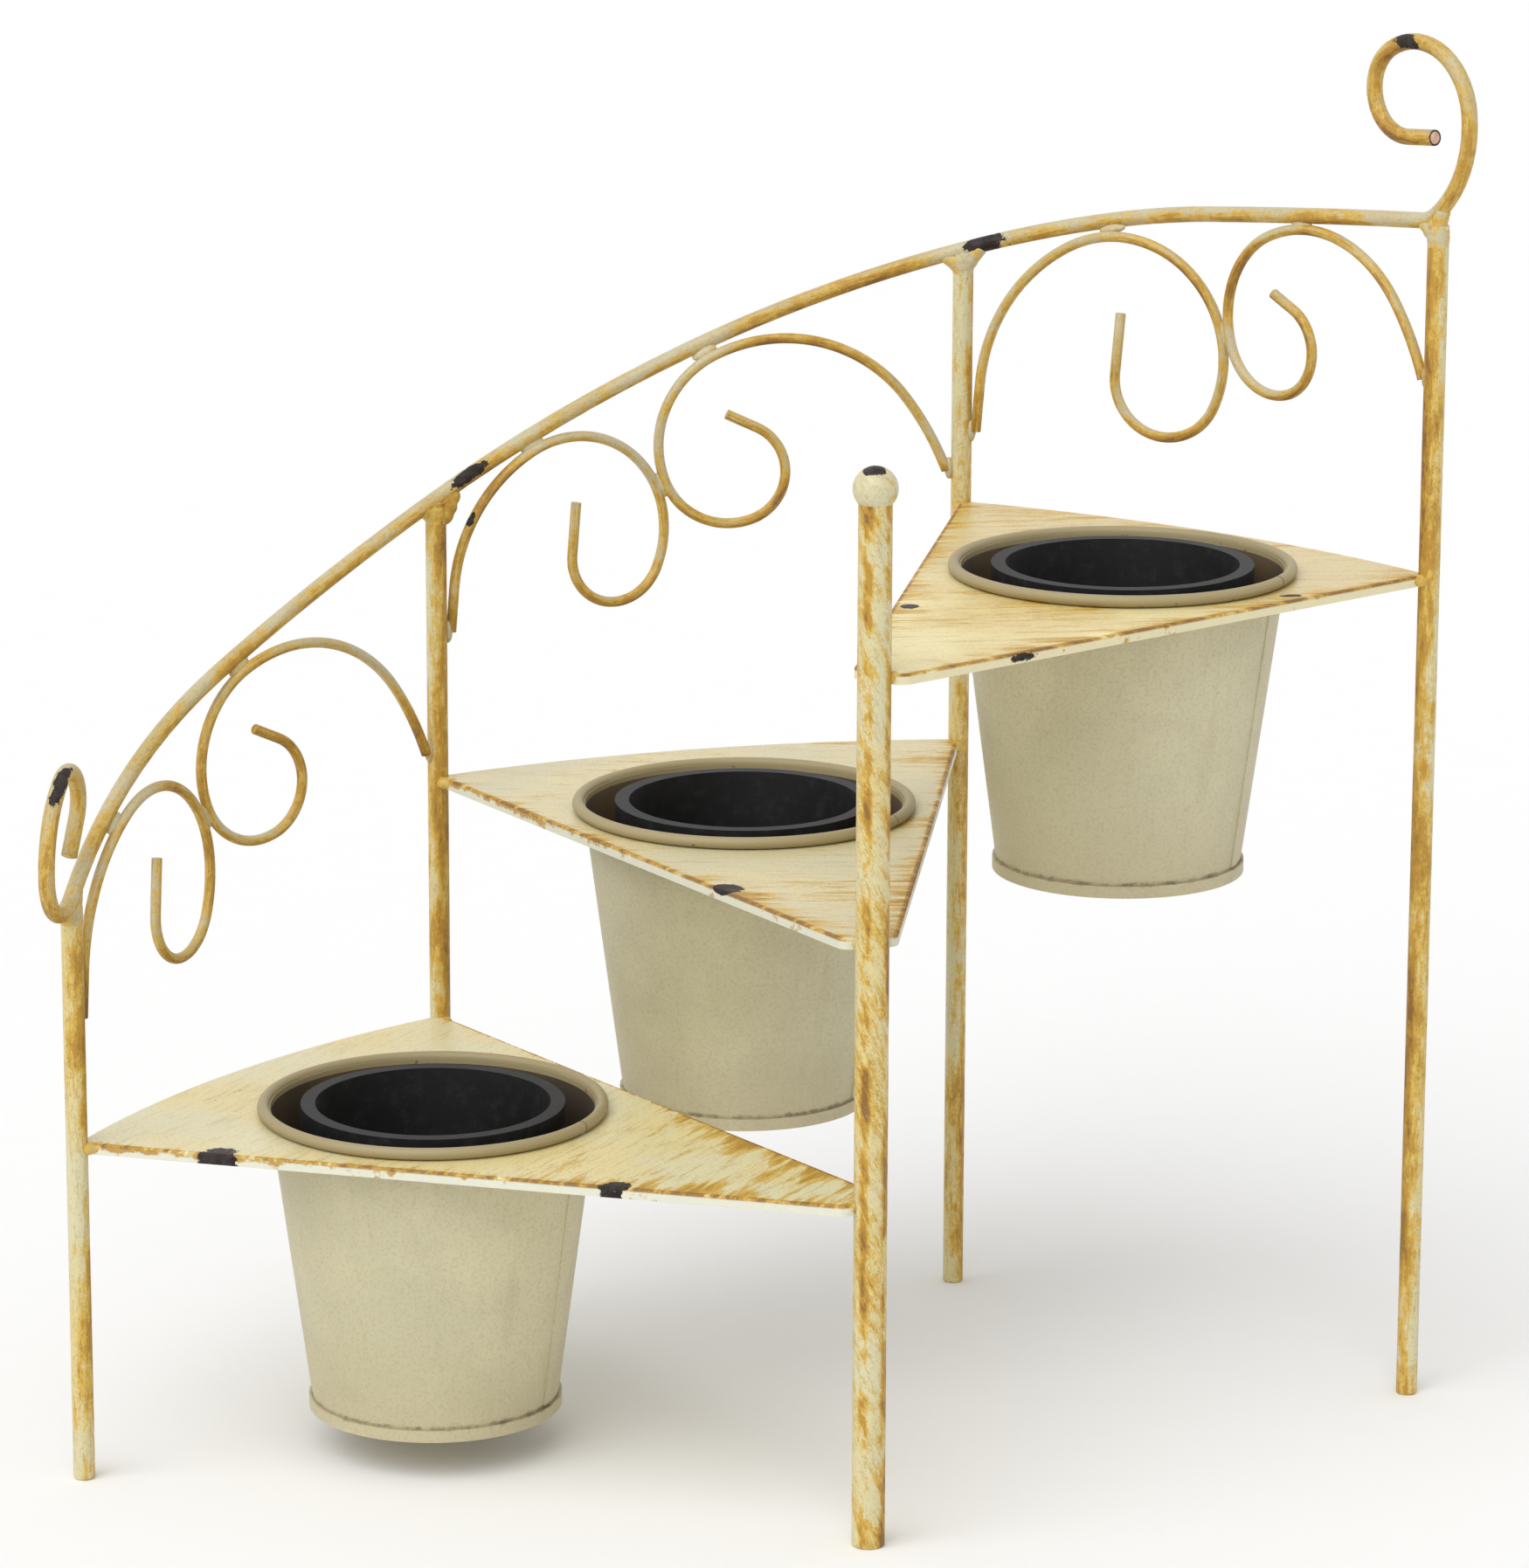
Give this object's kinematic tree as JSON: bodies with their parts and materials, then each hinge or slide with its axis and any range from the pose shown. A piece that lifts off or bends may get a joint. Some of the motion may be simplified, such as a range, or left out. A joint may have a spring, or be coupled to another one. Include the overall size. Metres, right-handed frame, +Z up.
{
  "type": "tiered plant stand",
  "caption": "Welded rod plant stand shaped like a short spiral stair, with wedge shelves, a curled handrail, scrollwork, and tapered metal pots that hang in the shelves and hold plastic liners.",
  "frame": {"origin": "centre of the centre post's flat foot, on the floor", "axes": "+Z up, +Y from the centre post out through the middle shelf, +X towards the side where the stair climbs"},
  "size_m": [0.5306, 0.3115, 0.5212],
  "materials": {
    "antique_paint": "cream paint with an ochre brushed wash and dark chips, satin",
    "pot_paint": "plain greenish cream paint, matt",
    "liner_plastic": "black, slightly glossy"
  },
  "bodies": {
    "stand_frame": {"centre_post": "antique_paint", "ball_finial": "antique_paint", "handrail": "antique_paint", "outer_post_a": "antique_paint", "outer_post_b": "antique_paint", "outer_post_c": "antique_paint", "outer_post_d": "antique_paint", "low_scroll_1": "antique_paint", "high_scroll_1": "antique_paint", "shelf_1": "antique_paint", "low_scroll_2": "antique_paint", "high_scroll_2": "antique_paint", "shelf_2": "antique_paint", "low_scroll_3": "antique_paint", "high_scroll_3": "antique_paint", "shelf_3": "antique_paint", "rail_welds": "antique_paint", "shelf_welds": "antique_paint", "scroll_welds": "antique_paint"},
    "pot_1": {"pot_shell_1": "pot_paint", "pot_base_1": "pot_paint"},
    "liner_1": {"pot_liner_1": "liner_plastic"},
    "pot_2": {"pot_shell_2": "pot_paint", "pot_base_2": "pot_paint"},
    "liner_2": {"pot_liner_2": "liner_plastic"},
    "pot_3": {"pot_shell_3": "pot_paint", "pot_base_3": "pot_paint"},
    "liner_3": {"pot_liner_3": "liner_plastic"}
  },
  "joints": [
    {"name": "pot_1_lift", "type": "slide", "parent": "stand_frame", "child": "pot_1", "axis": [0, 0, 1], "range_m": [0, 0.125]},
    {"name": "liner_1_lift", "type": "slide", "parent": "pot_1", "child": "liner_1", "axis": [0, 0, 1], "range_m": [0, 0.12]},
    {"name": "pot_2_lift", "type": "slide", "parent": "stand_frame", "child": "pot_2", "axis": [0, 0, 1], "range_m": [0, 0.125]},
    {"name": "liner_2_lift", "type": "slide", "parent": "pot_2", "child": "liner_2", "axis": [0, 0, 1], "range_m": [0, 0.12]},
    {"name": "pot_3_lift", "type": "slide", "parent": "stand_frame", "child": "pot_3", "axis": [0, 0, 1], "range_m": [0, 0.125]},
    {"name": "liner_3_lift", "type": "slide", "parent": "pot_3", "child": "liner_3", "axis": [0, 0, 1], "range_m": [0, 0.12]}
  ]
}
